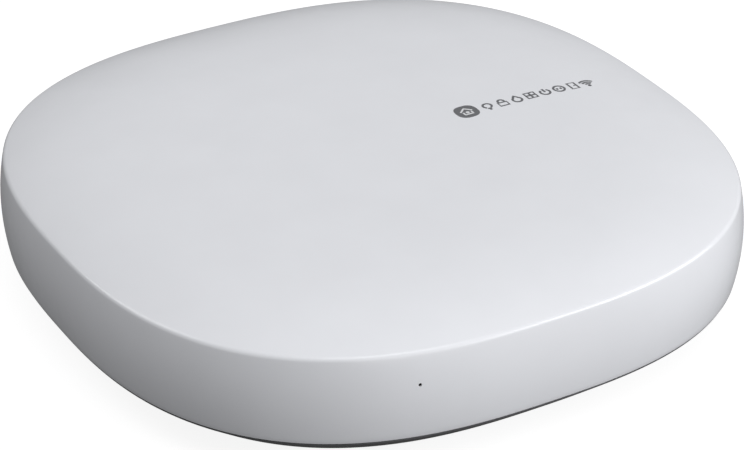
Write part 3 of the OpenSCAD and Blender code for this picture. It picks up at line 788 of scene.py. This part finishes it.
ink = printed_ink("print_ink", (0.14, 0.143, 0.153))
white_ink = printed_ink("badge_white", (0.72, 0.73, 0.75))
badge = make_badge()
house = make_badge_house()
finish_piece(make_print(), ink)
finish_piece(badge, ink)
finish_piece(house, white_ink)

# Widths in millimetres of the bevels on the CAD pieces that can be seen at the rear
EDGE = {"port_bezel": 0.15, "ethernet_shell": 0.08, "ethernet_housing": 0.1, "usb_shell": 0.1,
        "usb_housing": 0.1, "power_jack_housing": 0.15, "reset_button": 0.15}
for name, obj in frame["nodes"].items():
    slot = slot_of[name]
    if obj.material_slots:
        obj.material_slots[0].material = materials[slot]
    else:
        obj.data.materials.append(materials[slot])
    if name in EDGE:
        add_bevel(obj, EDGE[name] * MM, segments=2, angle=40)


# ---------------------------------------------------------------- floor, light and camera

def make_floor():
    bm = bmesh.new()
    size = 3.0
    corners = [bm.verts.new((sx * size, sy * size, 0)) for sx, sy in ((-1, -1), (1, -1), (1, 1), (-1, 1))]
    bm.faces.new(corners)
    floor = new_object("studio_floor", bm)
    m = Material("studio_floor", roughness=0.6)
    m.colour(m.mix(m.noise(0.4, 2), (0.215, 0.215, 0.217), (0.225, 0.225, 0.227)))
    floor.data.materials.append(m.material)
    # The floor can't be seen from below, so that the underside shows
    side = m.nodes.new("ShaderNodeNewGeometry")
    clear = m.nodes.new("ShaderNodeBsdfTransparent")
    both = m.nodes.new("ShaderNodeMixShader")
    m.links.new(side.outputs["Backfacing"], both.inputs["Fac"])
    m.links.new(m.shader.outputs["BSDF"], both.inputs[1])
    m.links.new(clear.outputs["BSDF"], both.inputs[2])
    m.links.new(both.outputs["Shader"], m.nodes["Material Output"].inputs["Surface"])
    # The floor glows a little and lights nothing
    m.shader.inputs["Emission Color"].default_value = (1, 1, 1, 1)
    m.shader.inputs["Emission Strength"].default_value = 0.88
    m.material.cycles.emission_sampling = "NONE"
    floor.visible_diffuse = False
    floor.visible_glossy = False
    floor.visible_shadow = False


def soft_light(name, azimuth, elevation, power, width=0.7, height=0.7):
    """A soft box that faces the hub. Azimuth 0 stands in front and 90 at the right."""
    light = bpy.data.lights.new(name, "AREA")
    light.shape = "RECTANGLE"
    light.size = width
    light.size_y = height
    light.energy = power
    obj = bpy.data.objects.new(name, light)
    a, e = math.radians(azimuth), math.radians(elevation)
    away = Vector((math.sin(a) * math.cos(e), -math.cos(a) * math.cos(e), math.sin(e)))
    obj.location = away * 1.2
    obj.rotation_mode = "QUATERNION"
    obj.rotation_quaternion = away.to_track_quat("Z", "Y")
    bpy.context.scene.collection.objects.link(obj)


def make_world(above, below):
    """Even light from all round: one brightness above the horizon and another below."""
    world = bpy.data.worlds.new("studio")
    world.use_nodes = True
    nodes, links = world.node_tree.nodes, world.node_tree.links
    direction = nodes.new("ShaderNodeTexCoord")
    split = nodes.new("ShaderNodeSeparateXYZ")
    horizon = nodes.new("ShaderNodeMapRange")
    horizon.inputs["From Min"].default_value = -0.1
    horizon.inputs["From Max"].default_value = 0.1
    horizon.inputs["To Min"].default_value = below
    horizon.inputs["To Max"].default_value = above
    links.new(direction.outputs["Generated"], split.inputs["Vector"])
    links.new(split.outputs["Z"], horizon.inputs["Value"])
    links.new(horizon.outputs["Result"], nodes["Background"].inputs["Strength"])
    nodes["Background"].inputs["Color"].default_value = (1, 1, 1, 1)
    bpy.context.scene.world = world


def make_camera():
    """The photograph's view: from the front left, 30 degrees above the table."""
    azimuth, elevation = math.radians(-29.967), math.radians(30.349)
    distance = 507.2 * MM
    back = Vector((math.sin(azimuth) * math.cos(elevation), -math.cos(azimuth) * math.cos(elevation),
                   math.sin(elevation)))
    data = bpy.data.cameras.new("camera")
    data.lens = 132.5
    data.sensor_width = 36
    data.clip_start = 0.01
    data.clip_end = 20
    camera = bpy.data.objects.new("camera", data)
    camera.location = Vector((0.86 * MM, 0, 9.7 * MM)) + back * distance
    camera.rotation_mode = "QUATERNION"
    camera.rotation_quaternion = back.to_track_quat("Z", "Y")
    bpy.context.scene.collection.objects.link(camera)
    bpy.context.scene.camera = camera


make_floor()
make_world(0.3, 0.1)
soft_light("key", 50, 25, 8.4, width=1.0, height=0.45)
soft_light("front_fill", -5, 8, 2.45)
soft_light("front_strip", 18, 12, 1.4, width=0.3)
soft_light("front_top", 0, 65, 3.2)
soft_light("back_left", 225, 45, 3.8)
bpy.context.scene.view_settings.view_transform = "Standard"
make_camera()
